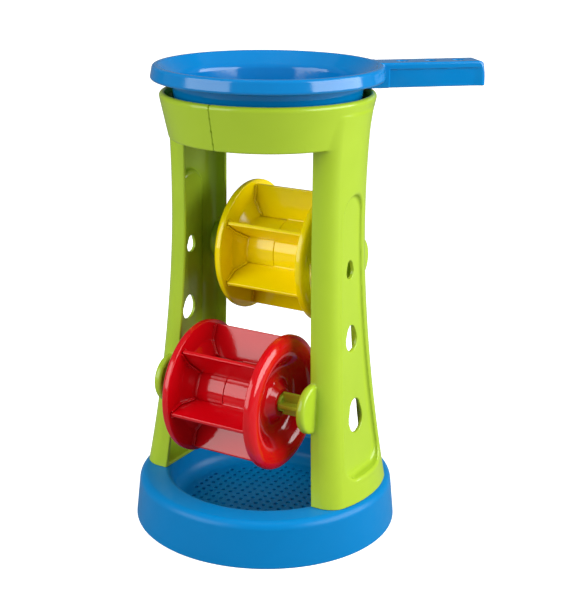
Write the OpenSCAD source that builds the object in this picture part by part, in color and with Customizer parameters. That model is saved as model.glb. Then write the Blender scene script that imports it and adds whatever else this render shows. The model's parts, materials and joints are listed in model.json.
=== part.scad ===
// Sand and water mill: a round sieve tray, a two-leg tower, two bucket wheels and a lift-out pan.
// Millimetres. The origin is the centre of the base's underside, and the legs stand on the X axis.
// The lower wheel hangs in front (-Y) and the upper wheel behind (+Y). Every piece is a thin
// moulding: the tower is two mirrored halves that close on the wheels along X, and each wheel is
// two cheeks, one of which carries the paddles.

/* [Base tray] */
// Radius of the base where it meets the ground
base_r = 85; // [80:1:102]
// Height of the flat ring that the legs stand on
base_h = 29.5; // [26:0.5:36]
// How much the base's side wall leans in over its height
base_draft = 3; // [0:0.5:5]
// Rounding of the base's top outer edge
base_edge = 4; // [3:0.5:6]
// Width from the base's outside to the tray's opening
ring_w = 22.5; // [20:0.5:26]
// Height of the sieve floor's upper face
sieve_z = 8; // [5:0.5:12]
// Radius of the cove between the tray's wall and the sieve floor
cove_r = 9; // [6:0.5:12]
// Diameter of a hole in the tray's sieve
tray_hole_d = 2.8; // [1.5:0.1:3]
// Distance between the tray's sieve holes
tray_pitch = 5.9; // [5:0.1:8]

/* [Tower] */
// Height of the collar's top edge above the ground
tower_h = 278; // [235:1:334]
// Height of the collar
collar_h = 27.5; // [22:0.5:34]
// Outer radius of the collar at its lower edge
collar_low_r = 60.3; // [57:0.1:72]
// Outer radius of the collar at its top edge
collar_top_r = 66.1; // [62:0.1:76]
// How far a leg stands proud of the collar's lower edge
leg_proud = 1.7; // [0.5:0.1:3]
// How far below the collar the legs start to flare
neck_drop = 45.5; // [30:0.5:60]
// Half the width of a leg at its neck
neck_w = 24.8; // [20:0.2:28]
// Half the width of a leg at its foot
foot_w = 36.4; // [28:0.2:38]
// Depth of a leg's channel at its neck
neck_depth = 16.8; // [12:0.2:18]
// Depth of a leg's channel at its foot
foot_depth = 24.3; // [20:0.2:26]
// Distance of a leg's foot in from the base's outside
foot_inset = 6.3; // [5:0.1:9]
// Half the width of the sunk panel on a leg at its neck
panel_neck_w = 11.5; // [8:0.5:14]
// Half the width of the sunk panel on a leg at its foot
panel_foot_w = 25; // [18:0.5:26]
// Depth of the sunk panel at the leg's middle line, at its neck
panel_neck_depth = 4; // [3:0.1:5]
// Depth of the sunk panel at the leg's middle line, at its foot
panel_foot_depth = 8; // [5:0.1:9]

/* [Wheels] */
// Free height between the collar and the upper wheel
upper_gap = 36.6; // [28:0.2:44]
// Free height between the base and the lower wheel
lower_gap = 19.8; // [16:0.2:26]
// Free distance between the rims of the two wheels
wheel_gap = 15; // [10:0.5:20]
// Distance of each axle in front of or behind the tower's middle
axle_y = 30; // [26:0.5:33]
// Distance between the inner faces of a wheel's two cheeks
bucket_w = 54; // [45:1:58]
// Outer radius of a wheel's hub
hub_r = 19; // [15:0.5:21]
// Thickness of a paddle
paddle_t = 2.6; // [2:0.1:3.2]
// Angle at which the upper wheel's paddles rest
upper_phase = 28; // [0:1:59]
// Angle at which the lower wheel's paddles rest
lower_phase = 10; // [0:1:59]
// Radius of the pin that a wheel turns on
pin_r = 5.6; // [4:0.1:6.8]
// Radius of the lug that carries a pin
lug_r = 15.6; // [12:0.2:17]
// How far the right lugs stand in from the leg's inner edge
right_lug_in = 2; // [1:0.2:3]
// How far the left lugs stand in from the leg's inner edge, negative where they lie inside the leg
left_lug_in = -1.8; // [-2.4:0.2:3]

/* [Pan] */
// Outer radius of the pan's rim
rim_r = 71.3; // [69:0.1:84]
// Height of the rim's top above the collar
rim_rise = 16; // [14:0.5:22]
// Height of the rim's outer band
rim_h = 8.5; // [6:0.5:10]
// Distance from the pan's middle to the end of its handle
handle_reach = 136; // [115:1:165]
// Width of the handle
handle_w = 18.5; // [16:0.5:24]
// Direction of the handle, turned from the right leg
handle_turn = 43; // [0:1:90]
// Diameter of the handle's three holes
handle_hole_d = 6.4; // [4:0.1:8]
// Distance between the handle's holes
handle_pitch = 18; // [14:0.5:20]
// Diameter of a hole in the pan's sieve
pan_hole_d = 4.5; // [3:0.1:5]
// Distance between the pan's sieve holes
pan_pitch = 8; // [7:0.5:10]

/* [Walls and fits] */
// Wall of every moulding
wall = 2.4; // [2:0.1:2.9]
// Gap between two mouldings that clip or slot together
fit_gap = 0.3; // [0.2:0.05:0.5]
// Gap round a pin in its bore
pin_gap = 0.3; // [0.2:0.05:0.5]
// End play of a wheel between its two pins
end_play = 0.8; // [0.5:0.1:1.5]
// Gap along the seam between the two halves of the tower or of a hub
seam_gap = 0.2; // [0.1:0.05:0.4]

/* [Hidden] */
$fn = 72;
far = 400;

green = [0.62, 0.80, 0.16];
base_blue = [0.0, 0.48, 0.78];
pan_blue = [0.10, 0.53, 0.84];
yellow = [0.96, 0.82, 0.0];
red = [0.80, 0.04, 0.08];

// Base
base_top_r = base_r - base_draft;
tray_r = base_r - ring_w;
tray_lip = 1.5;
tray_low_r = tray_r - 2;
sieve_t = 2.2;
sieve_r = tray_low_r - cove_r;

// Collar: its outer face is a cone, and its lip is rounded
collar_z = tower_h - collar_h;
lip_r = 1.5;
ledge_z = collar_z + 11.5;
ledge_r = 47;
function collar_r(z) = collar_low_r + (collar_top_r - collar_low_r) * (z - collar_z) / (collar_h - lip_r);
function collar_inner(z) = collar_r(z) - wall;

// Legs: straight below the collar, then flaring to the foot, with a slight swell into the collar
foot_r = base_r - foot_inset;
neck_r = collar_low_r + leg_proud;
neck_z = collar_z - neck_drop;
flare_power = 1.8;
swell_z = neck_z + 8;
swell = 0.0008;
leg_top = tower_h - 8;
leg_steps = 12;
function flare(z) = z < neck_z ? pow((neck_z - z) / (neck_z - base_h), flare_power) : 0;
function blend(at_neck, at_foot, z) = at_neck + (at_foot - at_neck) * flare(z);
function leg_r(z) = blend(neck_r, foot_r, z) + swell * pow(max(0, z - swell_z), 2);
function leg_w(z) = blend(neck_w, foot_w, z);
function leg_x(z) = blend(neck_r - neck_depth, foot_r - foot_depth, z);
function panel_x(z) = blend(neck_r - panel_neck_depth, foot_r - panel_foot_depth, z);
function panel_w(z) = blend(panel_neck_w, panel_foot_w, z);
function heights(low, high, steps) = [for (i = [0:steps]) low + (high - low) * i / steps];
leg_zs = concat(heights(base_h, neck_z, leg_steps), heights(swell_z, leg_top, 4));

// Sunk panel: an arch at the top, a shallow bowl at the bottom
panel_top = neck_z + 15.5;
panel_bottom = base_h + 15;
panel_corner = 8;
panel_zs = heights(panel_bottom + panel_corner, panel_top - panel_neck_w, 8);
// Heights of a leg's three holes as shares of the flare's length, then their widths and heights
hole_share = [0.29, 0.575, 0.823];
hole_wide = [17.4, 14, 9];
hole_high = [21.6, 16.4, 11.2];

// Foot tabs
tab_w = 10;
tab_y = 15;
tab_x = foot_r - 11.7;
tab_l = 7;
tab_lip = 1;

// Wheels: as large as the tower's height and the two axles' places allow
stack = collar_z - base_h - upper_gap - lower_gap;
wheel_d = (stack * stack + 4 * axle_y * axle_y - wheel_gap * wheel_gap) / (2 * (stack + wheel_gap));
wheel_r = wheel_d / 2;
upper_z = collar_z - upper_gap - wheel_r;
lower_z = base_h + lower_gap + wheel_r;
cheek_x = bucket_w / 2;
rim_t = 4.4;
crest = 2.1;
crest_r = wheel_r - 6.9;
dish_r = wheel_r - 13.4;
dish_deep = 2.6;
hub_foot_r = hub_r + 2;
boss_r = pin_r + 3.4;
boss_x = cheek_x + 3;
web_x = cheek_x - dish_deep;
seam_x = -2;
spigot_l = 10;
paddle_r = wheel_r - 2.4;
paddle_n = 6;
grip_t = 1.2;
grip_h = 1.6;

// Pins and their cross-shaped stalks
stalk_r = 7.2;
fin_t = 2.4;
lug_t = 5.6;
stalk_x = boss_x + end_play / 2;
pin_x = web_x + 0.7;

// Pan: it sits on the collar's inner ledge
rim_z = tower_h + rim_rise;
rim_draft = 1.6;
seat_z = ledge_z + wall + fit_gap;
pan_wall = 2.2;
shoulder_z = seat_z + pan_wall;
shoulder_r = 53.6;
bowl_taper = 4;
bowl_power = 9;
throat_r = ledge_r - fit_gap - 0.3;
throat_h = 12.5;
bowl_top = rim_z - 1.2;
bowl_lip_r = rim_r - 5;
under_rim_z = rim_z - 4;
handle_h = rim_rise - 0.8;
handle_corner = 4;
handle_in = 57.2;
handle_root = rim_r - 3.4;
handle_hole_r = 84.5;
recess_t = 0.8;

function arc(cx, cy, r, a0, a1, n) =
    [for (i = [0:n]) let (a = a0 + (a1 - a0) * i / n) [cx + r * cos(a), cy + r * sin(a)]];
function bowl_r(z) = let (s = (z - shoulder_z) / (bowl_top - shoulder_z))
    shoulder_r + bowl_taper * s + (bowl_lip_r - shoulder_r - bowl_taper) * pow(max(s, 0), bowl_power);
function reverse(v) = [for (i = [len(v) - 1:-1:0]) v[i]];

// Extrudes an outline drawn in Y and Z along +X from x0
module along_x(x0, length) {
    translate([x0, 0, 0]) rotate([90, 0, 90]) linear_extrude(length) children();
}

// Extrudes an outline drawn in X and Z to both sides of Y = 0
module along_y(width) {
    rotate([90, 0, 0]) linear_extrude(width, center = true) children();
}

// Turns an outline drawn as radius and place along the axle about an axle parallel to X
module turned_on_x() {
    rotate([90, 0, 90]) rotate_extrude() children();
}

// Round holes in rows across the tray, as many as fit inside radius r
module square_sieve_holes(r, pitch, d, z, depth) {
    rows = floor(r / pitch);
    for (i = [-rows:rows], j = [-rows:rows])
        if (pitch * norm([i, j]) <= r)
            translate([pitch * i, pitch * j, z]) cylinder(d = d, h = depth, $fn = 16);
}

// Round holes in a hexagonal grid, as many as fit inside radius r
module sieve_holes(r, pitch, d, z, depth) {
    row = pitch * sin(60);
    rows = ceil(r / row);
    for (j = [-rows:rows])
        for (i = [-rows - 1:rows + 1])
            let (x = (i + (j % 2 == 0 ? 0 : 0.5)) * pitch, y = j * row)
                if (norm([x, y]) <= r) translate([x, y, z]) cylinder(d = d, h = depth, $fn = 16);
}

// ---- Base tray: one moulding, with a sieve floor and slots for the legs' tabs

module base_profile() {
    edge_r = base_top_r - base_edge;
    edge_z = base_h - base_edge;
    polygon(concat(
        [[base_r, 0]],
        arc(edge_r, edge_z, base_edge, 0, 90, 6),
        arc(tray_r + tray_lip, base_h - tray_lip, tray_lip, 90, 180, 4),
        arc(sieve_r, sieve_z + cove_r, cove_r, 0, -90, 8),
        [[0, sieve_z], [0, sieve_z - sieve_t]],
        arc(sieve_r, sieve_z + cove_r, cove_r + sieve_t, -90, 0, 8),
        [[tray_r + wall, base_h - wall]],
        arc(edge_r, edge_z, base_edge - wall, 90, 0, 4),
        [[base_r - wall, 0]]
    ));
}

// The four places where a leg's tabs enter the base
module at_tabs() {
    for (sx = [0, 1], sy = [0, 1])
        mirror([sx, 0, 0]) mirror([0, sy, 0]) children();
}

module base_tray() {
    color(base_blue) difference() {
        rotate_extrude($fn = 120) base_profile();
        square_sieve_holes(sieve_r - tray_hole_d, tray_pitch, tray_hole_d, sieve_z - sieve_t - 1, sieve_t + 2);
        at_tabs() translate([tab_x - fit_gap, tab_y - fit_gap, base_h - 2 * wall])
            cube([wall + 2 * fit_gap, tab_w + 2 * fit_gap, 3 * wall]);
    }
}

// ---- Tower halves

// A solid of revolution about Z whose radius follows the leg, less an inset
module leg_turned(inset) {
    rotate_extrude($fn = 120) polygon(concat(
        [[0, leg_zs[0]]],
        [for (z = leg_zs) [leg_r(z) - inset, z]],
        [[0, leg_top]]
    ));
}

// The leg's front outline, less an inset, run along X
module leg_front(inset) {
    along_x(0, far) polygon(concat(
        [for (z = leg_zs) [leg_w(z) - inset, z]],
        [for (z = reverse(leg_zs)) [inset - leg_w(z), z]]
    ));
}

// Everything further out than the side curve whose places along X are xs, one for each height
module beyond(xs) {
    along_y(far) polygon(concat(
        [for (i = [0:len(leg_zs) - 1]) [xs[i], leg_zs[i]]],
        [[far, leg_top], [far, leg_zs[0]]]
    ));
}

// The sunk panel's outline, grown by g, run along X
module panel_front(g) {
    low = panel_zs[0];
    w = panel_w(low);
    along_x(0, far) polygon(concat(
        [for (z = panel_zs) [panel_w(z) + g, z]],
        arc(0, panel_top - panel_neck_w, panel_neck_w + g, 10, 170, 12),
        [for (z = reverse(panel_zs)) [-panel_w(z) - g, z]],
        [for (t = [-0.92:0.23:0.93]) [t * (w + g), low - g - (panel_corner) * (1 - pow(abs(t), 4))]]
    ));
}

// Egg-shaped hole with its narrow end up
module egg(wide, high) {
    low_r = wide / 2;
    top_r = low_r * 0.75;
    hull() {
        translate([0, low_r - high / 2]) circle(r = low_r, $fn = 32);
        translate([0, high / 2 - top_r]) circle(r = top_r, $fn = 32);
    }
}

module leg() {
    difference() {
        union() {
            difference() {
                intersection() {
                    leg_turned(0);
                    leg_front(0);
                    beyond([for (z = leg_zs) leg_x(z)]);
                }
                intersection() {
                    leg_turned(wall);
                    leg_front(wall);
                    translate([0, 0, wall]) beyond([for (z = leg_zs) 0]);
                }
            }
            intersection() {
                leg_turned(0);
                panel_front(wall);
                beyond([for (z = leg_zs) panel_x(z) - wall]);
            }
        }
        intersection() {
            panel_front(0);
            beyond([for (z = leg_zs) panel_x(z)]);
        }
        for (i = [0:len(hole_share) - 1])
            let (z = base_h + (neck_z - base_h) * hole_share[i])
                along_x(panel_x(z) - 4 * wall, 8 * wall)
                    translate([0, z]) egg(hole_wide[i], hole_high[i]);
        // above the collar's lower edge, the leg ends inside the collar's wall
        rotate_extrude($fn = 120) polygon([
            [0, collar_z + 0.5], [collar_inner(collar_z) + wall / 2, collar_z + 0.5],
            [collar_inner(leg_top + 1) + wall / 2, leg_top + 1], [0, leg_top + 1]
        ]);
    }
}

module collar_profile() {
    polygon(concat(
        [[collar_low_r, collar_z]],
        arc(collar_top_r - lip_r, tower_h - lip_r, lip_r, 0, 180, 8),
        [[collar_inner(tower_h - lip_r), tower_h - lip_r]],
        [[collar_inner(ledge_z + wall), ledge_z + wall], [ledge_r, ledge_z + wall], [ledge_r, ledge_z]],
        [[collar_inner(ledge_z), ledge_z], [collar_inner(collar_z), collar_z]]
    ));
}

// Lug, stalk and pin for one wheel, drawn for the right-hand side. The lug is a cup that opens
// towards the wheel, and the stalk stands on its floor.
module lug(z, lug_in) {
    x0 = leg_x(z) - lug_in;
    floor_x = x0 + lug_t - wall;
    translate([x0, 0, 0]) rotate([0, 90, 0]) difference() {
        cylinder(r = lug_r, h = lug_t);
        translate([0, 0, -1]) cylinder(r = lug_r - wall, h = lug_t - wall + 1);
    }
    for (a = [0, 90])
        rotate([a, 0, 0]) translate([stalk_x, -fin_t / 2, -stalk_r])
            cube([floor_x - stalk_x + 1, fin_t, 2 * stalk_r]);
    translate([pin_x, 0, 0]) rotate([0, 90, 0]) cylinder(r = pin_r, h = stalk_x - pin_x + 1);
}

// Everything the two tower halves share, drawn for the right-hand side
module half(lug_in) {
    intersection() {
        rotate_extrude($fn = 120) collar_profile();
        translate([seam_gap / 2, -far / 2, 0]) cube(far);
    }
    leg();
    translate([0, axle_y, upper_z]) lug(upper_z, lug_in);
    translate([0, -axle_y, lower_z]) lug(lower_z, lug_in);
    for (s = [0, 1]) mirror([0, s, 0]) {
        translate([tab_x, tab_y, base_h - wall - tab_l]) cube([wall, tab_w, tab_l + 2 * wall]);
        translate([tab_x, tab_y, base_h - wall - fit_gap - 2]) cube([wall + tab_lip, tab_w, 2]);
    }
}

// A tongue inside the collar's seam: its root is in this half, its tip lies behind the other half
module seam_tongue() {
    tongue_z0 = collar_z + 1;
    tongue_z1 = ledge_z - 1;
    rotate([0, 0, 82]) rotate_extrude(angle = 14, $fn = 120) polygon([
        [collar_inner(tongue_z0) - fit_gap - 2, tongue_z0], [collar_inner(tongue_z0) - fit_gap, tongue_z0],
        [collar_inner(tongue_z1) - fit_gap, tongue_z1], [collar_inner(tongue_z1) - fit_gap - 2, tongue_z1]
    ]);
    rotate([0, 0, 82]) rotate_extrude(angle = 7, $fn = 120) polygon([
        [collar_inner(tongue_z0) - fit_gap - 2, tongue_z0], [collar_inner(tongue_z0) + 0.5, tongue_z0],
        [collar_inner(tongue_z1) + 0.5, tongue_z1], [collar_inner(tongue_z1) - fit_gap - 2, tongue_z1]
    ]);
}

module tower_half_right() {
    color(green) union() {
        half(right_lug_in);
        for (s = [0, 1]) mirror([0, s, 0]) seam_tongue();
    }
}

module tower_half_left() {
    color(green) mirror([1, 0, 0]) half(left_lug_in);
}

// ---- Wheels

// The cheek's section on the right: radius, then place along the axle
module cheek_profile() {
    polygon(concat(
        [[hub_r - wall, web_x - wall], [hub_foot_r, web_x - wall], [dish_r, cheek_x]],
        [[wheel_r - 0.6, cheek_x], [wheel_r, cheek_x + 0.6], [wheel_r, cheek_x + rim_t - 1.2]],
        [[wheel_r - 1.4, cheek_x + rim_t]],
        arc(crest_r, cheek_x + rim_t + crest - 6, 6, 60, 120, 5),
        [[dish_r, cheek_x + rim_t - 0.4], [hub_foot_r + 1, web_x], [boss_r, web_x]],
        [[boss_r, boss_x], [pin_r + pin_gap, boss_x], [pin_r + pin_gap, web_x - wall]]
    ));
}

// One paddle's face, as place along the axle and radius, between the two cheeks
module paddle_face() {
    dish_in = web_x - wall + fit_gap;
    polygon([
        [fit_gap - cheek_x, paddle_r], [fit_gap - cheek_x, dish_r], [fit_gap - dish_in, hub_foot_r],
        [fit_gap - dish_in, hub_r + fit_gap], [seam_x, hub_r + fit_gap], [seam_x, hub_r - 1],
        [dish_in, hub_r - 1], [dish_in, hub_foot_r], [cheek_x + 0.5, dish_r], [cheek_x + 0.5, paddle_r]
    ]);
}

// A slab of thickness t that follows a face drawn along the axle, standing out on local +Y
module slab(t) {
    translate([0, 0, -t / 2]) linear_extrude(t) children();
}

// The six ribbed slots on the left cheek that hold the paddles' ends
module grips() {
    slot = paddle_t + 2 * fit_gap;
    dish_in = web_x - wall;
    for (i = [0:paddle_n - 1]) rotate([90 + i * 360 / paddle_n, 0, 0]) difference() {
        slab(slot + 2 * grip_t) polygon([
            [-cheek_x - 0.5, paddle_r], [-cheek_x - 0.5, dish_r], [-dish_in - 0.5, hub_foot_r],
            [grip_h - dish_in, hub_foot_r], [grip_h - cheek_x, dish_r], [grip_h - cheek_x, paddle_r - grip_h],
            [-cheek_x, paddle_r]
        ]);
        slab(slot) translate([-far / 2, 0]) square(far);
    }
}

module left_cheek() {
    mirror([1, 0, 0]) turned_on_x() cheek_profile();
    turned_on_x() polygon([
        [hub_r, wall - web_x], [hub_r, seam_x - seam_gap / 2], [hub_r - wall, seam_x - seam_gap / 2],
        [hub_r - wall, wall - web_x - 0.5], [hub_r, wall - web_x - 0.5]
    ]);
    grips();
}

module right_cheek() {
    turned_on_x() cheek_profile();
    turned_on_x() polygon([
        [hub_r, web_x - wall + 0.5], [hub_r, seam_x + seam_gap / 2], [hub_r - wall - fit_gap, seam_x + seam_gap / 2],
        [hub_r - wall - fit_gap, seam_x - spigot_l], [hub_r - 2 * wall, seam_x - spigot_l],
        [hub_r - 2 * wall, seam_x + spigot_l], [hub_r - wall, seam_x + spigot_l + wall],
        [hub_r - wall, web_x - wall + 0.5]
    ]);
    for (i = [0:paddle_n - 1]) rotate([90 + i * 360 / paddle_n, 0, 0]) slab(paddle_t) paddle_face();
}

// Places a cheek on the upper or the lower axle, turned to its paddles' rest angle
module on_upper_axle() {
    translate([0, axle_y, upper_z]) rotate([upper_phase - 90, 0, 0]) children();
}

module on_lower_axle() {
    translate([0, -axle_y, lower_z]) rotate([lower_phase - 90, 0, 0]) children();
}

module upper_wheel_left_cheek() {
    color(yellow) on_upper_axle() left_cheek();
}

module upper_wheel_right_cheek() {
    color(yellow) on_upper_axle() right_cheek();
}

module lower_wheel_left_cheek() {
    color(red) on_lower_axle() left_cheek();
}

module lower_wheel_right_cheek() {
    color(red) on_lower_axle() right_cheek();
}

// ---- Pan

module pan_profile() {
    bowl_zs = heights(bowl_top, shoulder_z, 12);
    outer_zs = heights(seat_z, under_rim_z, 10);
    throat_z = seat_z - throat_h;
    polygon(concat(
        [[rim_r, rim_z - rim_h]],
        arc(rim_r - rim_draft - 1.5, rim_z - 1.5, 1.5, 0, 90, 5),
        [for (z = bowl_zs) [bowl_r(z), z]],
        [[throat_r - pan_wall, shoulder_z], [throat_r - pan_wall, throat_z + pan_wall], [0, throat_z + pan_wall]],
        [[0, throat_z], [throat_r, throat_z], [throat_r, seat_z]],
        [for (z = outer_zs) [bowl_r(z) + pan_wall, z]],
        [[rim_r - rim_draft - wall, under_rim_z], [rim_r - wall, rim_z - rim_h]]
    ));
}

// The handle's plan, from x0 out, less an inset
module handle_plan(x0, inset) {
    w = handle_w / 2 - inset;
    end = handle_reach - inset;
    corner = handle_corner - inset;
    translate([x0, -w]) square([end - corner - x0, 2 * w]);
    translate([x0, corner - w]) square([end - x0, 2 * (w - corner)]);
    for (s = [-1, 1]) translate([end - corner, s * (w - corner)]) circle(r = corner, $fn = 32);
}

module handle() {
    low = rim_z - handle_h;
    difference() {
        union() {
            translate([0, 0, low]) linear_extrude(handle_h) handle_plan(handle_root, 0);
            translate([0, 0, low]) linear_extrude(handle_h - 5) handle_plan(handle_in, 0);
        }
        translate([0, 0, low - 1]) linear_extrude(handle_h - wall + 1) handle_plan(handle_in - 1, wall);
        for (i = [0:2]) translate([handle_hole_r + i * handle_pitch, 0, low])
            cylinder(d = handle_hole_d, h = handle_h + 1, $fn = 32);
        for (s = [0, 1]) mirror([0, s, 0])
            translate([rim_r + 4, handle_w / 2 - recess_t, low - 1])
                cube([handle_reach - rim_r - 4 - handle_corner - 1, wall, handle_h - 3]);
    }
}

// The space inside the bowl, which the handle's roots stay out of
module bowl_space() {
    bowl_zs = heights(bowl_top, shoulder_z, 12);
    rotate_extrude($fn = 120) polygon(concat(
        [[0, bowl_top]], [for (z = bowl_zs) [bowl_r(z) + pan_wall / 2, z]], [[0, shoulder_z]]
    ));
}

module pan() {
    color(pan_blue) difference() {
        union() {
            rotate_extrude($fn = 120) pan_profile();
            rotate([0, 0, handle_turn]) difference() {
                handle();
                bowl_space();
            }
        }
        sieve_holes(3 * pan_pitch + 0.1, pan_pitch, pan_hole_d, seat_z - throat_h - 1, pan_wall + 2);
    }
}

base_tray();
tower_half_right();
tower_half_left();
upper_wheel_left_cheek();
upper_wheel_right_cheek();
lower_wheel_left_cheek();
lower_wheel_right_cheek();
pan();
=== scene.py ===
import json
import math

import bmesh
import bpy
import numpy as np
from mathutils import Matrix, Vector
from mathutils.geometry import delaunay_2d_cdt


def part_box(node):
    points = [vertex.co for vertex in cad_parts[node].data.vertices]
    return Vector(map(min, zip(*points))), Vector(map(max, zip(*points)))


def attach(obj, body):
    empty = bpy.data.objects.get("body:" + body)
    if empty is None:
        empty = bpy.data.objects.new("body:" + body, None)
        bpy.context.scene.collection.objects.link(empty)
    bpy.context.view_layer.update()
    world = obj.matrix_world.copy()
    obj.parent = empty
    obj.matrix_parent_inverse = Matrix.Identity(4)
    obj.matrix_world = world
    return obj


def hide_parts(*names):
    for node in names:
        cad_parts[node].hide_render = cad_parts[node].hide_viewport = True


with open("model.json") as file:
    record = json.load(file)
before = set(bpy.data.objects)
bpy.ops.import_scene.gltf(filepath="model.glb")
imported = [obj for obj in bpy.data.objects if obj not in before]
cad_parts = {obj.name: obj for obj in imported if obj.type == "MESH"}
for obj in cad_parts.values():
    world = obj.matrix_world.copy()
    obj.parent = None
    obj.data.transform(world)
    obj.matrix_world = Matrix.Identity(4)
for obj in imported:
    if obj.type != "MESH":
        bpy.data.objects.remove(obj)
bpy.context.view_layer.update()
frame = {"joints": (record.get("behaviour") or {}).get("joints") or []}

# ---- Base tray -------------------------------------------------------------------------------
# One injection-moulded ring in blue ABS with a sieve floor. Its outside leans in by a draft of a
# few millimetres, the tray's wall runs into the floor in a wide cove, and the underside is open.
# The two legs stand on its flat ring, and their tabs snap into four slots in it.

MM = 0.001
base_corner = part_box("base_tray")[1] / MM
base_r = base_corner.x
base_h = base_corner.z
wall = 2.4
fit_gap = 0.3
tray_r = base_r - 22.5
sieve_z = 8.0
sieve_t = 2.2
cove_r = 9.0
tray_low_r = tray_r - 2
sieve_r = tray_low_r - cove_r
plate_r = sieve_r - 0.6
hole_d = 2.8
hole_pitch = 5.9
tab_x = base_r - 18
tab_y = 15.0
tab_w = 10.0


def soften(corners, step=5.0):
    """A closed outline through (u, v, radius) corners, with each corner rounded to its radius."""
    outline = []
    for i, (u, v, radius) in enumerate(corners):
        here = Vector((u, v))
        back = (Vector(corners[i - 1][:2]) - here).normalized()
        ahead = (Vector(corners[(i + 1) % len(corners)][:2]) - here).normalized()
        if radius == 0:
            outline.append((u, v))
            continue
        half = back.angle(ahead) / 2
        centre = here + (back + ahead).normalized() * radius / math.sin(half)
        first = here + back * radius / math.tan(half) - centre
        last = here + ahead * radius / math.tan(half) - centre
        start = math.atan2(first.y, first.x)
        turn = math.remainder(math.atan2(last.y, last.x) - start, math.tau)
        steps = max(2, math.ceil(math.degrees(abs(turn)) / step))
        for k in range(steps + 1):
            a = start + turn * k / steps
            outline.append((centre.x + radius * math.cos(a), centre.y + radius * math.sin(a)))
    return outline


def square_lattice(pitch, reach):
    """Centres of a square grid of holes, as many as lie within reach of the middle."""
    rows = math.floor(reach / pitch)
    steps = range(-rows, rows + 1)
    return [(pitch * i, pitch * j) for i in steps for j in steps if pitch * math.hypot(i, j) <= reach]


def hexagonal_lattice(pitch, reach):
    """Centres of a hexagonal grid of holes, as many as lie within reach of the middle."""
    row = pitch * math.sin(math.radians(60))
    rows = math.ceil(reach / row)
    spots = []
    for j in range(-rows, rows + 1):
        for i in range(-rows - 1, rows + 2):
            x, y = (i + (0.5 if j % 2 else 0)) * pitch, j * row
            if math.hypot(x, y) <= reach:
                spots.append((x, y))
    return spots


def ring(x, y, r, n):
    """n points round a circle."""
    return [(x + r * math.cos(math.tau * k / n), y + r * math.sin(math.tau * k / n)) for k in range(n)]


def base_section():
    """The ring's section from the floor's edge underneath, round the outside, to the floor's top."""
    top_r = base_r - 3
    under_floor = sieve_z - sieve_t
    under = base_h - wall
    return soften([
        (plate_r, under_floor, 0), (tray_low_r + sieve_t, under_floor, cove_r + sieve_t),
        (tray_r + wall, under, 1.2), (top_r - wall, under, 1.6), (base_r - wall, 0, 0.5),
        (base_r, 0, 0.8), (top_r, base_h, 5.5), (tray_r - 0.2, base_h, 3.6),
        (tray_low_r, sieve_z, cove_r), (plate_r, sieve_z, 0),
    ], step=6)


def lathe(bm, outline, around):
    """Turns an outline of radius and height about Z, and returns its rings of points."""
    rings = [[bm.verts.new((r * math.cos(math.tau * k / around), r * math.sin(math.tau * k / around), z))
              for k in range(around)] for r, z in outline]
    for low, high in zip(rings, rings[1:]):
        for k in range(around):
            bm.faces.new((low[k - 1], low[k], high[k], high[k - 1]))
    return rings


def sieve_floor(bm, rim_top, rim_low, holes, hole_r):
    """Fills the floor between two rims with real holes, each with a small bevel at its top edge. rim_low
    is not used.
    """
    around = len(rim_top)
    sides = 20
    bevel = 0.25
    flat = [v.co.xy for v in rim_top]
    edges = [(k, (k + 1) % around) for k in range(around)]
    for x, y in holes:
        first = len(flat)
        flat += [Vector(p) for p in ring(x, y, hole_r + bevel, sides)]
        edges += [(first + k, first + (k + 1) % sides) for k in range(sides)]
    half = hole_pitch / 2
    corners = ((-half, -half), (-half, half), (half, -half), (half, half))
    between = {(round(x + dx, 3), round(y + dy, 3)) for x, y in holes for dx, dy in corners}
    flat += [Vector(spot) for spot in sorted(between) if math.hypot(*spot) < plate_r - 1.4]
    points, _, faces = delaunay_2d_cdt(flat, edges, [], 1, 1e-4, False)[:3]
    spots = np.array(holes)
    within = (hole_r + bevel) * math.cos(math.pi / sides)
    plate = []
    for face in faces:
        middle = sum((points[i] for i in face), Vector((0, 0))) / len(face)
        if np.hypot(*(spots - np.array(middle)).T).min() > within:
            plate.append(face)
    used = sorted({i for face in plate for i in face})
    for z, turn in ((sieve_z, 1), (sieve_z - sieve_t, -1)):
        at = {i: bm.verts.new((points[i].x, points[i].y, z)) for i in used}
        for face in plate:
            bm.faces.new([at[i] for i in face][::turn])
    for x, y in holes:
        rows = [[bm.verts.new((px, py, z)) for px, py in ring(x, y, r, sides)] for r, z in (
            (hole_r + bevel, sieve_z), (hole_r, sieve_z - bevel),
            (hole_r, sieve_z - sieve_t + bevel), (hole_r + bevel, sieve_z - sieve_t))]
        for high, low in zip(rows, rows[1:]):
            for k in range(sides):
                bm.faces.new((high[k], high[k - 1], low[k - 1], low[k]))
    bmesh.ops.remove_doubles(bm, verts=bm.verts[:], dist=0.002)


def block(name, low, high):
    """A box-shaped cutter between two corners, in millimetres."""
    bm = bmesh.new()
    bmesh.ops.create_cube(bm, size=1)
    size = Vector(high) - Vector(low)
    bmesh.ops.scale(bm, vec=size, verts=bm.verts)
    bmesh.ops.translate(bm, vec=(Vector(high) + Vector(low)) / 2, verts=bm.verts)
    mesh = bpy.data.meshes.new(name)
    bm.to_mesh(mesh)
    bm.free()
    return bpy.data.objects.new(name, mesh)


def apply_modifiers(piece):
    """Leaves the piece with the mesh that its modifiers make."""
    made = bpy.data.meshes.new_from_object(piece.evaluated_get(bpy.context.evaluated_depsgraph_get()))
    piece.modifiers.clear()
    piece.data = made


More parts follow.
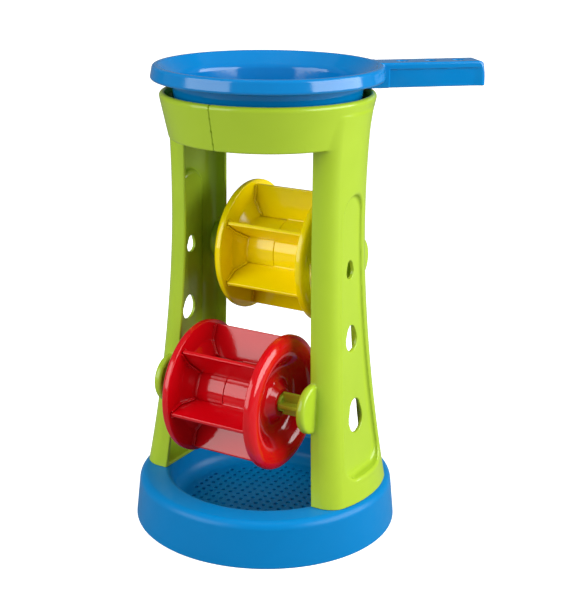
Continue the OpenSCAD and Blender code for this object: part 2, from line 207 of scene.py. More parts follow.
def make_base():
    """The whole base tray: a turned ring, the sieve floor inside it and a slot for each tab."""
    bm = bmesh.new()
    rings = lathe(bm, base_section(), 168)
    holes = square_lattice(hole_pitch, sieve_r - hole_d)
    sieve_floor(bm, rings[-1], rings[0], holes, hole_d / 2)
    bmesh.ops.recalc_face_normals(bm, faces=bm.faces[:])
    mesh = bpy.data.meshes.new("base_tray_moulding")
    bm.to_mesh(mesh)
    bm.free()
    piece = bpy.data.objects.new("base_tray_moulding", mesh)
    bpy.context.scene.collection.objects.link(piece)
    cutters = []
    for sx in (-1, 1):
        for sy in (-1, 1):
            xs = sorted((sx * (tab_x - fit_gap), sx * (tab_x + wall + fit_gap)))
            ys = sorted((sy * (tab_y - fit_gap), sy * (tab_y + tab_w + fit_gap)))
            cutter = block("slot_cutter", (xs[0], ys[0], base_h - 6), (xs[1], ys[1], base_h + 2))
            bpy.context.scene.collection.objects.link(cutter)
            cut = piece.modifiers.new("slot", "BOOLEAN")
            cut.object = cutter
            cut.solver = "EXACT"
            cutters.append(cutter)
    apply_modifiers(piece)
    for cutter in cutters:
        bpy.data.objects.remove(cutter)
    piece.data.transform(Matrix.Scale(MM, 4))
    piece.data.shade_smooth()
    piece.data.set_sharp_from_angle(angle=math.radians(38))
    piece.modifiers.new("even_normals", "WEIGHTED_NORMAL").keep_sharp = True
    apply_modifiers(piece)
    return piece


def plastic(name, colour, deep, roughness, shine):
    """Glossy ABS: a mass colour that varies faintly where the melt flowed, a moulded skin that
    isn't quite flat, and fine handling marks that dull the gloss in places."""
    material = bpy.data.materials.new(name)
    material.use_nodes = True
    tree = material.node_tree
    tree.nodes.clear()
    make = tree.nodes.new
    link = tree.links.new
    out = make("ShaderNodeOutputMaterial")
    skin = make("ShaderNodeBsdfPrincipled")
    link(skin.outputs["BSDF"], out.inputs["Surface"])
    place = make("ShaderNodeTexCoord")

    flow = make("ShaderNodeTexNoise")
    flow.inputs["Scale"].default_value = 14
    flow.inputs["Detail"].default_value = 3
    flow.inputs["Distortion"].default_value = 1.2
    link(place.outputs["Object"], flow.inputs["Vector"])
    tone = make("ShaderNodeMix")
    tone.data_type = "RGBA"
    tone.inputs["A"].default_value = (*deep, 1)
    tone.inputs["B"].default_value = (*colour, 1)
    spread = make("ShaderNodeMapRange")
    spread.inputs["From Min"].default_value = 0.3
    spread.inputs["From Max"].default_value = 0.62
    link(flow.outputs["Fac"], spread.inputs["Value"])
    link(spread.outputs["Result"], tone.inputs["Factor"])
    link(tone.outputs["Result"], skin.inputs["Base Color"])

    marks = make("ShaderNodeTexNoise")
    marks.inputs["Scale"].default_value = 38
    marks.inputs["Detail"].default_value = 8
    marks.inputs["Roughness"].default_value = 0.62
    link(place.outputs["Object"], marks.inputs["Vector"])
    dull = make("ShaderNodeMapRange")
    dull.inputs["From Min"].default_value = 0.42
    dull.inputs["From Max"].default_value = 0.78
    dull.inputs["To Min"].default_value = roughness
    dull.inputs["To Max"].default_value = roughness + 0.10
    link(marks.outputs["Fac"], dull.inputs["Value"])
    link(dull.outputs["Result"], skin.inputs["Roughness"])

    peel = make("ShaderNodeTexNoise")
    peel.inputs["Scale"].default_value = 210
    peel.inputs["Detail"].default_value = 2
    link(place.outputs["Object"], peel.inputs["Vector"])
    ripple = make("ShaderNodeBump")
    ripple.inputs["Strength"].default_value = 0.10
    ripple.inputs["Distance"].default_value = 0.0004
    link(peel.outputs["Fac"], ripple.inputs["Height"])
    link(ripple.outputs["Normal"], skin.inputs["Normal"])

    skin.inputs["IOR"].default_value = 1.53
    skin.inputs["Specular IOR Level"].default_value = shine
    skin.inputs["Subsurface Weight"].default_value = 0.06
    skin.inputs["Subsurface Radius"].default_value = (0.004, 0.004, 0.004)
    skin.inputs["Subsurface Scale"].default_value = 1.0
    return material


base_blue = plastic("base_blue_abs", (0.0, 0.205, 0.52), (0.0, 0.195, 0.495), 0.3, 0.16)
base_tray = make_base()
base_tray.data.materials.append(base_blue)
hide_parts("base_tray")
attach(base_tray, "tower")

# ---- Tower halves ----------------------------------------------------------------------------
# Two mirrored green mouldings that close along X on the wheels and meet in a seam at the front
# and back of the collar. Each is a leg like an open channel, flared and rounded at its foot, with a
# sunk panel and three drain holes, half of the collar, and two cup-shaped lugs with cross-shaped
# stalks and pins for the wheels. A tongue in the right half bridges the seam.

tower_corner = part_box("tower_half_right")[1] / MM
hinges = [joint for joint in frame["joints"] if joint["type"] == "hinge"]
pins = {hinge["child"]: Vector(hinge["pos_m"]) / MM for hinge in hinges}
tower_h = tower_corner.z
collar_z = tower_h - 27.5
collar_low_r = 60.3
collar_top_r = tower_corner.y
collar_rise = (collar_top_r - collar_low_r) / 26
ledge_z = collar_z + 11.5
ledge_r = 47.0
foot_r = tower_corner.x
neck_r = collar_low_r + 1.7
neck_z = collar_z - 45.5
panel_top = neck_z + 15.5
panel_bottom = base_h + 15
panel_top_w = 11.5
lug_r = 15.6
lug_t = 5.6
lug_edge = 2.2
pin_r = 5.6
wheel_boss_x = 30.0
wheel_web_x = 24.4
seam_half = 0.1
tower_reach = collar_top_r + 2
tower_cell = 0.85


def round_both(a, b, r):
    """What lies in both a and b, with the edge between them rounded to radius r."""
    return np.minimum(np.maximum(a, b), -r) + np.hypot(np.maximum(a + r, 0), np.maximum(b + r, 0))


def round_join(a, b, r):
    """What lies in a or b, with a fillet of radius r in the corner between them."""
    return -round_both(-a, -b, r)


def slope(shape, x, y, z, h=0.04):
    """The direction in which the distance to a shape grows, at each point."""
    return np.stack([
        shape(x + h, y, z) - shape(x - h, y, z),
        shape(x, y + h, z) - shape(x, y - h, z),
        shape(x, y, z + h) - shape(x, y, z - h),
    ], 1) / (2 * h)


def settle(shape, points, reach, times):
    """Moves points onto the surface where shape is zero, each no further than reach at a time."""
    for _ in range(times):
        away = shape(*points.T)
        push = slope(shape, *points.T)
        step = away / np.maximum((push * push).sum(1), 0.25)
        points = points - np.clip(step, -reach, reach)[:, None] * push
    return points


def in_parts(shape, x, y, z, size=60000):
    """Works a shape's distances out for many points, a part at a time."""
    cuts = range(0, len(x), size)
    return np.concatenate([shape(x[c:c + size], y[c:c + size], z[c:c + size]) for c in cuts])


def surface(shape, low, high, cell):
    """Points and four-sided faces where shape is zero, one point for each grid cell that it crosses.
    Only the blocks of cells that the surface may pass through are worked out."""
    span = 6
    low = np.array(low, float)
    counts = np.ceil((np.array(high) - low) / (cell * span)).astype(int)
    axes = [low[i] + cell * span * (np.arange(counts[i]) + 0.5) for i in range(3)]
    middles = [m.ravel() for m in np.meshgrid(*axes, indexing="ij")]
    rough = in_parts(shape, *middles)
    size = counts * span + 1
    field = np.full(size, 1.0, np.float32)
    coarse = rough.reshape(counts).astype(np.float32)
    for i in range(3):
        coarse = np.repeat(coarse, span, axis=i)
    field[:-1, :-1, :-1] = coarse
    near = np.argwhere(np.abs(rough.reshape(counts)) < cell * span * 1.15)
    steps = np.indices((span + 1,) * 3).reshape(3, -1).T
    for c in range(0, len(near), 400):
        spots = (near[c:c + 400, None, :] * span + steps[None]).reshape(-1, 3)
        field[tuple(spots.T)] = shape(*(low + spots * cell).T)
    inside = field < 0
    cells, crossings, quads = [], [], []
    for axis in range(3):
        u, w = (axis + 1) % 3, (axis + 2) % 3
        a = [slice(None)] * 3
        b = [slice(None)] * 3
        a[axis], b[axis] = slice(0, -1), slice(1, None)
        found = np.argwhere(inside[tuple(a)] != inside[tuple(b)])
        ahead = found.copy()
        ahead[:, axis] += 1
        here, there = field[tuple(found.T)], field[tuple(ahead.T)]
        cross = found.astype(float)
        cross[:, axis] += here / (here - there)
        corners = []
        for du, dw in ((0, 0), (-1, 0), (-1, -1), (0, -1)):
            corner = found.copy()
            corner[:, u] += du
            corner[:, w] += dw
            corners.append(np.ravel_multi_index(tuple(corner.T), size))
            crossings.append(cross)
        faces = np.stack(corners, 1)
        outward = here < 0
        faces[~outward] = faces[~outward][:, ::-1]
        cells += corners
        quads.append(faces)
    ids, back = np.unique(np.concatenate(cells), return_inverse=True)
    crossings = np.concatenate(crossings)
    share = np.bincount(back)
    points = np.stack([np.bincount(back, crossings[:, i]) / share for i in range(3)], 1)
    points = low + points * cell
    quads = np.searchsorted(ids, np.concatenate(quads))
    return settle(shape, points, cell * 0.4, 4), quads


def set_normals(mesh, normals):
    """Gives a smooth mesh the normals of the shape that it was made from."""
    lengths = np.maximum(np.linalg.norm(normals, axis=1), 1e-9)
    mesh.shade_smooth()
    mesh.normals_split_custom_set_from_vertices((normals / lengths[:, None]).tolist())


def build_mesh(name, points, quads):
    """A mesh of points and four-sided faces."""
    mesh = bpy.data.meshes.new(name)
    mesh.vertices.add(len(points))
    mesh.vertices.foreach_set("co", points.astype(np.float32).ravel())
    mesh.loops.add(quads.size)
    mesh.loops.foreach_set("vertex_index", quads.astype(np.int32).ravel())
    mesh.polygons.add(len(quads))
    mesh.polygons.foreach_set("loop_start", np.arange(0, quads.size, 4, dtype=np.int32))
    mesh.update(calc_edges=True)
    mesh.validate()
    return mesh


def mould(name, shape, low, high, cell):
    """A closed mesh of a shape, which is a function of x, y and z in millimetres that gives the
    distance to its surface. It comes back as a piece in metres."""
    points, quads = surface(shape, low, high, cell)
    mesh = build_mesh(name, points * MM, quads)
    set_normals(mesh, slope(shape, *points.T))
    piece = bpy.data.objects.new(name, mesh)
    bpy.context.scene.collection.objects.link(piece)
    return piece


def flare(z):
    """How far a leg has flared at height z, from 0 at its neck to 1 at its foot."""
    return np.clip((neck_z - z) / (neck_z - base_h), 0, None) ** 1.8


def leg_edge_x(f):
    """Where the leg's inner edge stands, for its flare."""
    neck_x = neck_r - 16.8
    return neck_x + (foot_r - 24.3 - neck_x) * f


def egg(y, z, wide, high):
    """An egg-shaped outline about the origin, with its narrow end up."""
    big = wide / 2
    small = big * 0.75
    rise = high - big - small
    y = np.abs(y)
    z = z + high / 2 - big
    lean = (big - small) / rise
    upright = math.sqrt(1 - lean * lean)
    along = upright * z - lean * y
    side = upright * y + lean * z - big
    ends = np.where(along < 0, np.hypot(y, z) - big, np.hypot(y, z - rise) - small)
    return np.where((along > 0) & (along < upright * rise), side, ends)


def leg(x, y, z):
    """The right leg: an open channel with rounded corners, a sunk panel and three holes."""
    f = flare(z)
    u = np.hypot(x, y)
    side = np.abs(y)
    leg_r = neck_r + (foot_r - neck_r) * f + 0.0008 * np.maximum(z - neck_z - 8, 0) ** 2
    leg_w = 24.8 + 11.6 * f
    panel_x = neck_r - 3.4 + (foot_r - 7.2 - neck_r + 3.4) * f
    panel_w = panel_top_w + 13.5 * f
    skin = round_both(u - leg_r, side - leg_w, 8)
    outside = round_both(round_both(skin, leg_edge_x(f) - x, 0.9), base_h - z, 0.4)
    hollow = round_both(u - leg_r + wall, side - leg_w + wall, 5.6)
    hollow = round_both(hollow, base_h + wall - z, 2)
    channel = round_both(outside, -hollow, 0.9)
    arch_z = panel_top - panel_top_w
    panel = np.where(z > arch_z, np.hypot(side, z - arch_z) - panel_top_w, side - panel_w)
    panel = round_both(panel, panel_bottom - z, 11)
    web = np.maximum(round_both(panel - wall, panel_x - wall - x, 3), skin + 1)
    pocket = round_both(panel, panel_x - x, 2.4)
    body = round_both(round_join(channel, web, 1.2), -pocket, 2.2)
    for share, wide, high in ((0.29, 17.4, 21.6), (0.575, 14, 16.4), (0.823, 9, 11.2)):
        hole_z = base_h + (neck_z - base_h) * share
        body = round_both(body, -egg(y, z - hole_z, wide, high), 0.5)
    return body


def collar(x, y, z):
    """The collar: a cone with a thick rounded lip, and a ledge inside that the pan sits on."""
    lean = 1 / math.hypot(1, collar_rise)
    u = np.hypot(x, y)
    out = (u - collar_low_r - collar_rise * (z - collar_z)) * lean
    lip = 1.3 * np.clip((z - ledge_z - 6) / 6, 0, 1) ** 2
    outside = round_both(out, z - tower_h, 3)
    inside = round_both(-out - wall - lip, z - tower_h, 0.7)
    band = round_both(np.maximum(outside, inside), collar_z - z, 0.9)
    ledge = round_both(ledge_r - u, np.abs(z - ledge_z - wall / 2) - wall / 2, 0.8)
    return round_join(band, np.maximum(ledge, out + 1.2), 1.2)


def lug(x, y, z, pin, lug_in):
    """A lug with its stalk and pin for one wheel, standing in from the leg's inner edge by lug_in."""
    back_x = leg_edge_x(float(flare(pin.z))) - lug_in
    floor_x = back_x + lug_t - wall
    stalk_x = wheel_boss_x + 0.4
    dy, dz = np.abs(y - pin.y), np.abs(z - pin.z)
    r = np.hypot(dy, dz)
    disc = round_both(r - lug_r, np.abs(x - back_x - lug_t / 2) - lug_t / 2, lug_edge)
    cup = round_both(r - lug_r + lug_edge, x - floor_x, 1.5)
    disc = round_both(disc, -cup, 0.8)
    cross = np.minimum(round_both(dy - 7.2, dz - 1.2, 0.5), round_both(dz - 7.2, dy - 1.2, 0.5))
    cross = round_both(cross, np.maximum(stalk_x - x, x - floor_x - 1), 0.5)
    pin_end = wheel_web_x + 0.7
    shaft = round_both(r - pin_r, np.maximum(pin_end - x, x - stalk_x - 1), 0.9)
    return np.minimum(round_join(disc, cross, 1.2), shaft)


def tongue(x, y, z):
    """A tongue behind the collar's seam, whose root is in this half."""
    inner = collar_low_r + collar_rise * (z - collar_z) - wall
    u = np.hypot(x, y)
    tall = np.abs(z - (collar_z + ledge_z) / 2) - 4.75
    blade = np.maximum(np.maximum(np.abs(u - inner + 1.3) - 1, tall), np.abs(x - 1) - 7)
    root = np.maximum(np.maximum(np.abs(u - inner + 0.9) - 1.4, tall), np.abs(x - 4.2) - 3.8)
    return np.maximum(np.minimum(blade, root), 30 - np.abs(y))


def half_tower(x, y, z, lug_in):
    """Everything that the two halves share, drawn for the right-hand side."""
    inner = collar_low_r + collar_rise * (z - collar_z) - wall / 2
    upright = leg(x, y, z)
    upright = np.maximum(upright, np.minimum(z - collar_z - 0.5, inner - np.hypot(x, y)))
    upright = round_both(upright, z - tower_h + 8, 1)
    body = round_join(upright, collar(x, y, z), 2)
    for pin in pins.values():
        body = round_join(body, lug(x, y, z, pin, lug_in), 0.8)
    body = round_both(body, seam_half - x, 0.35)
    tab_side = np.abs(np.abs(y) - tab_y - tab_w / 2) - tab_w / 2
    out = x - tab_x - wall / 2
    tab = np.maximum(np.abs(out) - wall / 2, np.abs(z - base_h + 2) - 5)
    hook = np.maximum(np.abs(out - 0.5) - wall / 2 - 0.5, np.abs(z - base_h + 3.8) - 0.9)
    return np.minimum(body, round_both(np.minimum(tab, hook), tab_side, 0.4))


def right_half(x, y, z):
    """The right half, which has the tongue. Its lugs stand 2 mm in from the leg's edge."""
    return np.minimum(half_tower(x, y, z, 2.0), tongue(x, y, z))


def left_half(x, y, z):
    """The left half. Its lugs lie 1.8 mm back in the leg."""
    return half_tower(-x, y, z, -1.8)


tower_green = plastic("tower_green_abs", (0.40, 0.575, 0.03), (0.372, 0.545, 0.026), 0.17, 0.36)
for side, shape, xs in (
    ("right", right_half, (-9, foot_r + 2)),
    ("left", left_half, (-foot_r - 2, 2)),
):
    half = mould(
        f"tower_half_{side}_moulding", shape,
        (xs[0], -tower_reach, base_h - 11), (xs[1], tower_reach, tower_h + 2), tower_cell)
    half.data.materials.append(tower_green)
    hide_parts(f"tower_half_{side}")
    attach(half, "tower")

# ---- Bucket wheels ---------------------------------------------------------------------------
# Each wheel is two mouldings that plug together at the hub: a right cheek with the hub's longer
# part and six paddles, and a left cheek whose ribbed slots hold the paddles' ends. The cheeks are
# dished on the outside, with a round crest near the rim and a boss that turns on the tower's pin.

cheek_low, cheek_high = (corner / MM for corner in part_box("upper_wheel_right_cheek"))
wheel_r = (cheek_high.z - cheek_low.z) / 2
cheek_x = 27.0
cone_r = wheel_r - 13.4
bore_r = 5.9
hub_r = 19.0
hub_foot_r = hub_r + 2
seam_x = -2.0
dish_in = wheel_web_x - wall
paddle_r = wheel_r - 2.4
paddle_half = 1.3
sixth = math.tau / 6
wheel_cell = 0.62
wheel_box = wheel_r + 1.5


def section(outlines, pitch=0.15, margin=7.0):
    """Distances to closed outlines on a fine grid, negative inside any of them. Returns a function
    that reads them anywhere."""
    corners = np.concatenate([np.array(o) for o in outlines])
    low = corners.min(0) - margin
    size = np.ceil((np.ptp(corners, axis=0) + 2 * margin) / pitch).astype(int) + 2
    u, v = np.meshgrid(*(low[i] + pitch * np.arange(size[i]) for i in range(2)), indexing="ij")
    table = np.full(size, np.inf)
    for outline in outlines:
        nearest = np.full(size, np.inf)
        inside = np.zeros(size, bool)
        for (u0, v0), (u1, v1) in zip(outline, outline[1:] + outline[:1]):
            du, dv = u1 - u0, v1 - v0
            t = np.clip(((u - u0) * du + (v - v0) * dv) / max(du * du + dv * dv, 1e-12), 0, 1)
            nearest = np.minimum(nearest, (u - u0 - t * du) ** 2 + (v - v0 - t * dv) ** 2)
            if v0 != v1:
                inside ^= ((v0 > v) != (v1 > v)) & (u < du * (v - v0) / dv + u0)
        table = np.minimum(table, np.where(inside, -1, 1) * np.sqrt(nearest))

    def read(a, b):
        ga = np.clip((a - low[0]) / pitch, 0, size[0] - 1.01)
        gb = np.clip((b - low[1]) / pitch, 0, size[1] - 1.01)
        ia, ib = ga.astype(int), gb.astype(int)
        fa, fb = ga - ia, gb - ib
        return ((table[ia, ib] * (1 - fa) + table[ia + 1, ib] * fa) * (1 - fb)
                + (table[ia, ib + 1] * (1 - fa) + table[ia + 1, ib + 1] * fa) * fb)

    return read


def flowing(points, steps=8):
    """A smooth curve through points, as a list of closer points."""
    p = np.array([points[0], *points, points[-1]], float)
    curve = []
    for i in range(1, len(p) - 2):
        for k in range(steps):
            t = k / steps
            curve.append(tuple(0.5 * (
                2 * p[i] + (p[i + 1] - p[i - 1]) * t
                + (2 * p[i - 1] - 5 * p[i] + 4 * p[i + 1] - p[i + 2]) * t * t
                + (3 * p[i] - p[i - 1] - 3 * p[i + 1] + p[i + 2]) * t ** 3)))
    curve.append(tuple(p[-2]))
    return curve


def cheek_outline():
    """Half of a cheek's section: radius, then place along the axle."""
    face = flowing([
        (wheel_r, cheek_x + 2.2), (wheel_r - 0.3, cheek_x + 3.6), (wheel_r - 1.5, cheek_x + 5.0),
        (wheel_r - 3.8, cheek_x + 6.2), (wheel_r - 6.9, cheek_x + 6.5), (wheel_r - 10, cheek_x + 5.9),
        (wheel_r - 12.7, cheek_x + 4.6), (wheel_r - 15.2, cheek_x + 2.5), (wheel_r - 17.8, cheek_x + 0.3),
        (wheel_r - 20.6, wheel_web_x + 1.0), (wheel_r - 23.6, wheel_web_x + 0.2),
        (wheel_r - 26.2, wheel_web_x),
    ])
    return soften([
        (cone_r, cheek_x, 3), (wheel_r, cheek_x, 0.7), *((r, x, 0) for r, x in face),
        (14.0, wheel_web_x, 6.0), (8.7, wheel_boss_x, 1.2), (bore_r, wheel_boss_x, 0.5),
        (bore_r, dish_in, 0.3), (hub_r + 1.8, dish_in, 2.2),
    ])


cheek_section = section([cheek_outline()])


def tube(outer, inner, x0, x1, r=0.3):
    """A hub tube's section between two places along the axle."""
    return soften([(inner, x0, r), (outer, x0, r), (outer, x1, r), (inner, x1, r)])


left_hub = section([tube(hub_r, hub_r - wall, 1 - wheel_web_x, seam_x - seam_half)])
right_hub = section([
    tube(hub_r, hub_r - wall, seam_x + seam_half, dish_in + 1),
    tube(hub_r - wall - fit_gap, hub_r - 2 * wall, seam_x - 10, seam_x + 4),
    tube(hub_r - wall + 0.5, hub_r - 2 * wall, seam_x + seam_half, seam_x + 6),
])
paddle_face = section([soften([
    (fit_gap - cheek_x, paddle_r, 0.8), (fit_gap - cheek_x, cone_r, 0.5),
    (fit_gap - dish_in, hub_foot_r, 0.3), (fit_gap - dish_in, hub_r + fit_gap, 0.2),
    (seam_x, hub_r + fit_gap, 0), (seam_x, hub_r - 1, 0), (dish_in, hub_r - 1, 0),
    (dish_in + 0.6, hub_foot_r, 0), (cheek_x + 1, cone_r, 0), (cheek_x + 1, paddle_r, 0),
])])


def to_paddle(y, z):
    """Radius along and distance across the nearest of the six paddles."""
    angle = np.arctan2(z, y)
    angle = angle - np.round(angle / sixth) * sixth
    r = np.hypot(y, z)
    return r * np.cos(angle), np.abs(r * np.sin(angle))


def paddle_thick(along):
    """Half of a paddle's thickness, which has a little draft outwards."""
    return paddle_half + 0.012 * (paddle_r - along) - 0.1


def right_cheek(x, y, z):
    """The right cheek, with the longer part of the hub and the six paddles, about its own axle."""
    r = np.hypot(y, z)
    along, across = to_paddle(y, z)
    body = round_join(cheek_section(r, x), right_hub(r, x), 1.4)
    blade = round_both(paddle_face(x, along), across - paddle_thick(along), 0.55)
    return round_join(body, blade, 1.1)


def left_cheek(x, y, z):
    """The left cheek, with two thin ribs on its inside for each paddle's end, about its own axle."""
    r = np.hypot(y, z)
    along, across = to_paddle(y, z)
    plate = cheek_section(r, -x)
    body = round_join(plate, left_hub(r, x), 1.4)
    cone = (cheek_x - dish_in) / (cone_r - hub_foot_r)
    inner = -cheek_x + np.maximum(cone_r - along, 0) * cone
    ribs = np.abs(across - paddle_thick(along) - fit_gap - 0.6) - 0.6
    rib = round_both(np.maximum(plate - 1.5, inner - 0.6 - x), ribs, 0.4)
    rib = round_both(rib, np.maximum(along - paddle_r + 0.6, hub_r + 1 - along), 0.5)
    return np.minimum(body, rib)


wheel_yellow = plastic("upper_wheel_yellow_abs", (1.0, 0.79, 0.0), (0.98, 0.74, 0.0), 0.09, 0.42)
wheel_red = plastic("lower_wheel_red_abs", (0.62, 0.001, 0.006), (0.58, 0.001, 0.005), 0.08, 0.45)
wheels = (("upper_wheel", 28, wheel_yellow), ("lower_wheel", 10, wheel_red))
for side, shape, xs in (("left", left_cheek, (-35, 1)), ("right", right_cheek, (-28, 35))):
    pattern = mould(
        f"{side}_cheek_pattern", shape, (xs[0], -wheel_box, -wheel_box), (xs[1], wheel_box, wheel_box),
        wheel_cell)
    for wheel, rest, finish in wheels:
        cheek = bpy.data.objects.new(f"{wheel}_{side}_cheek_moulding", pattern.data.copy())
        bpy.context.scene.collection.objects.link(cheek)
        turned = Matrix.Translation(pins[wheel] * MM) @ Matrix.Rotation(math.radians(rest), 4, "X")
        cheek.data.transform(turned)
        cheek.data.materials.append(finish)
        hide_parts(f"{wheel}_{side}_cheek")
        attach(cheek, wheel)
    bpy.data.objects.remove(pattern)

# ---- Pan -------------------------------------------------------------------------------------
# A blue funnel with a rolled rim, a shoulder that sits on the collar's ledge, and a sieve in the
# throat below it. The flat handle is moulded with it: hollow underneath, with a shallow recess in
# each side and three holes through its top. It lifts straight out.

pan_low, pan_high = (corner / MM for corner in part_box("pan"))
rim_z = pan_high.z
rim_r = -pan_low.x
rim_low = rim_z - 8.5
lip_r = rim_r - 4.9
seat_z = ledge_z + wall + fit_gap
pan_wall = 2.2
shoulder_z = seat_z + pan_wall
shoulder_r = 53.6
throat_r = ledge_r - 0.6
throat_z = seat_z - 12.5
brim_r = 56.2
brim_z = rim_z - 8.2
pan_pitch = 8.0
pan_hole_r = 2.25
handle_turn = math.radians(43)
handle_reach = 136.0
handle_half = 9.25
handle_low = rim_z - 15.2
handle_holes = [84.5, 102.5, 120.5]


def pan_outline():
    """The pan's section: band, brim, bowl, shoulder and throat, from the inside of the band round."""
    return soften([
        (rim_r - 1.2 - wall, rim_z - 3.6, 1.2), (rim_r - wall, rim_low, 0.5), (rim_r, rim_low, 1.5),
        (rim_r - 1.6, rim_z, 1.8), (lip_r, rim_z, 0.8), (brim_r, brim_z, 6),
        (shoulder_r, shoulder_z, 1.2), (throat_r - pan_wall, shoulder_z, 1.4),
        (throat_r - pan_wall - 0.3, throat_z + pan_wall, 2.2), (-6, throat_z + pan_wall, 0),
        (-6, throat_z, 0), (throat_r - 0.3, throat_z, 1.2), (throat_r, seat_z, 0.5),
        (shoulder_r + pan_wall, seat_z, 1.1), (brim_r + pan_wall, brim_z - 1.2, 4),
    ])


pan_section = section([pan_outline()])


def pan_holes(x, y):
    """Distance to the nearest of the sieve's holes, which lie in a hexagonal grid."""
    nearest = np.full(np.shape(x), 1e3)
    for hx, hy in hexagonal_lattice(pan_pitch, 3 * pan_pitch + 0.1):
        nearest = np.minimum(nearest, np.hypot(x - hx, y - hy))
    return nearest - pan_hole_r


def handle(x, y, z):
    """The handle, hollow from below. Here h runs out along it, and w is the distance from its middle."""
    h = x * math.cos(handle_turn) + y * math.sin(handle_turn)
    w = np.abs(y * math.cos(handle_turn) - x * math.sin(handle_turn))
    top = z - rim_z
    past_end = h - handle_reach
    plan = round_both(w - handle_half, past_end, 3.2)
    body = round_both(np.maximum(plan, handle_low - z), top, 1.3)
    body = round_both(body, 0.93 * past_end + 0.37 * top + 1.2, 3)
    body = np.maximum(body, 57.2 - h)
    hollow = round_both(round_both(w - handle_half + wall, past_end + wall, 1.6), top + wall, 1.2)
    body = round_both(body, -np.maximum(hollow, 57 - h), 0.5)
    deep = 0.85 * (1 - 0.85 * np.clip((past_end + 9) / 5.5, 0, 1) ** 2)
    recess = np.maximum(handle_half - deep - w, np.maximum(top + 4.1, past_end + 3.2))
    recess = np.maximum(recess, rim_r + 2.5 - h)
    body = round_both(body, -recess, 0.6)
    for spot in handle_holes:
        body = round_both(body, 3.2 - np.hypot(h - spot, w), 0.5)
    return body


def pan_shape(x, y, z):
    """The whole pan: the turned funnel, the handle up to the bowl's wall, and the sieve's holes."""
    u = np.hypot(x, y)
    bowl = pan_section(u, z)
    grip = handle(x, y, z)
    bowl_r = shoulder_r + (brim_r - shoulder_r) * (z - shoulder_z) / (brim_z - shoulder_z)
    flare_r = brim_r + (lip_r - brim_r) * (z - brim_z) / (rim_z - brim_z)
    grip = np.maximum(grip, np.maximum(bowl_r, flare_r) + pan_wall / 2 - u)
    body = round_join(bowl, grip, 0.9)
    return round_both(body, -pan_holes(x, y), 0.4)


pan_blue = plastic("pan_blue_abs", (0.0, 0.20, 0.53), (0.0, 0.19, 0.505), 0.10, 0.40)
pan = mould(
    "pan_moulding", pan_shape, (-rim_r - 2, -rim_r - 2, throat_z - 2),
    (pan_high.x + 2, pan_high.y + 2, rim_z + 2), 0.8)
pan.data.materials.append(pan_blue)
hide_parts("pan")
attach(pan, "pan")

# ---- Studio ----------------------------------------------------------------------------------
# A white sweep with a broad overhead light that makes no reflection of its own, and two large
# soft boxes, the right one the stronger. The paper and the air look whiter to the camera than to
# the pieces, as in a cut-out catalogue picture.

sweep = bpy.data.meshes.new("studio_sweep")
bm = bmesh.new()
profile = [(-2.2, 0.0), (1.0, 0.0)]
profile += [(1.0 + 0.8 * math.sin(a), 0.8 - 0.8 * math.cos(a)) for a in np.radians(np.arange(6, 91, 6))]
profile += [(1.8, 3.0)]
rows = [[bm.verts.new((x, y, z)) for x in (-3.0, 3.0)] for y, z in profile]
for near, far in zip(rows, rows[1:]):
    bm.faces.new((near[0], near[1], far[1], far[0]))
bm.to_mesh(sweep)
bm.free()
sweep.shade_smooth()
backdrop = bpy.data.objects.new("studio_sweep", sweep)
backdrop.rotation_euler.z = math.radians(30.8)
bpy.context.scene.collection.objects.link(backdrop)
paper = bpy.data.materials.new("white_paper")
paper.use_nodes = True
tree = paper.node_tree
tree.nodes.clear()
path = tree.nodes.new("ShaderNodeLightPath")
bounce = tree.nodes.new("ShaderNodeBsdfDiffuse")
bounce.inputs["Color"].default_value = (0.3, 0.3, 0.3, 1)
seen = tree.nodes.new("ShaderNodeBsdfDiffuse")
seen.inputs["Color"].default_value = (0.8, 0.8, 0.8, 1)
glow = tree.nodes.new("ShaderNodeEmission")
glow.inputs["Strength"].default_value = 0.72
both = tree.nodes.new("ShaderNodeAddShader")
tree.links.new(seen.outputs["BSDF"], both.inputs[0])
tree.links.new(glow.outputs["Emission"], both.inputs[1])
chosen = tree.nodes.new("ShaderNodeMixShader")
tree.links.new(path.outputs["Is Camera Ray"], chosen.inputs["Fac"])
tree.links.new(bounce.outputs["BSDF"], chosen.inputs[1])
tree.links.new(both.outputs["Shader"], chosen.inputs[2])
sheet = tree.nodes.new("ShaderNodeOutputMaterial")
tree.links.new(chosen.outputs["Shader"], sheet.inputs["Surface"])
sweep.materials.append(paper)

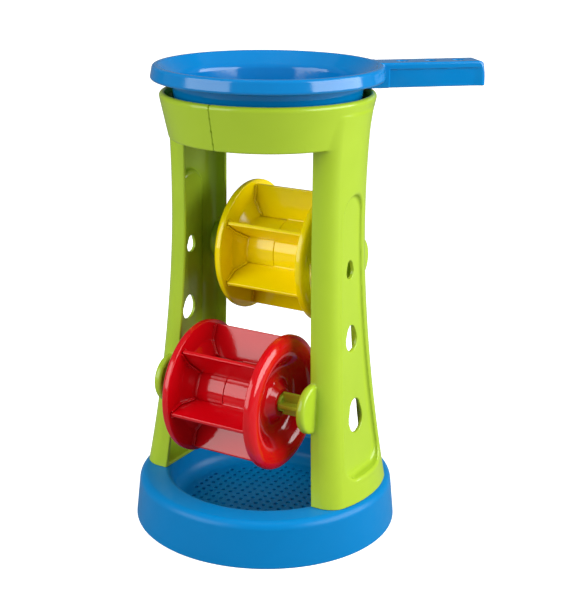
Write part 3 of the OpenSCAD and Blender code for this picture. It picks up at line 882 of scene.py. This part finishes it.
world = bpy.data.worlds.new("studio_air")
world.use_nodes = True
air = world.node_tree
path = air.nodes.new("ShaderNodeLightPath")
strength = air.nodes.new("ShaderNodeMapRange")
strength.inputs["To Min"].default_value = 0.24
strength.inputs["To Max"].default_value = 1.0
air.links.new(path.outputs["Is Camera Ray"], strength.inputs["Value"])
air.links.new(strength.outputs["Result"], air.nodes["Background"].inputs["Strength"])
air.nodes["Background"].inputs["Color"].default_value = (1, 1, 1, 1)
bpy.context.scene.world = world


def softbox(name, place, aim, width, height, watts):
    """A soft box: an even rectangle of light at a place, turned to face a point."""
    lamp = bpy.data.lights.new(name, "AREA")
    lamp.shape = "RECTANGLE"
    lamp.size = width
    lamp.size_y = height
    lamp.energy = watts
    box = bpy.data.objects.new(name, lamp)
    box.location = place
    box.rotation_euler = (Vector(aim) - Vector(place)).to_track_quat("-Z", "Y").to_euler()
    bpy.context.scene.collection.objects.link(box)
    return box


middle = (0, 0, 0.15)
softbox("soft_box_right", (1.20, 0.25, 0.62), middle, 1.4, 0.9, 25)
softbox("soft_box_left", (-0.60, -1.05, 0.58), middle, 1.1, 0.9, 12)
top = softbox("soft_box_top", (0.0, -0.2, 1.5), middle, 0.8, 0.8, 8)
top.visible_glossy = False

camera = bpy.data.cameras.new("camera")
camera.sensor_width = 36
camera.lens = 80.11
camera.shift_x = 0.02926
camera.clip_start = 0.05
eye = bpy.data.objects.new("camera", camera)
turn, down, roll = math.radians(30.832), math.radians(17.548), math.radians(0.378)
right = Vector((math.cos(turn), math.sin(turn), 0))
ahead = Vector((-math.sin(turn) * math.cos(down), math.cos(turn) * math.cos(down), -math.sin(down)))
up = right.cross(ahead)
right, up = right * math.cos(roll) + up * math.sin(roll), up * math.cos(roll) - right * math.sin(roll)
pose = Matrix((right, up, -ahead)).transposed().to_4x4()
pose.translation = Vector((414.4, -694.3, 400.6)) * MM
eye.matrix_world = pose
bpy.context.scene.collection.objects.link(eye)
bpy.context.scene.camera = eye
bpy.context.scene.view_settings.view_transform = "Standard"
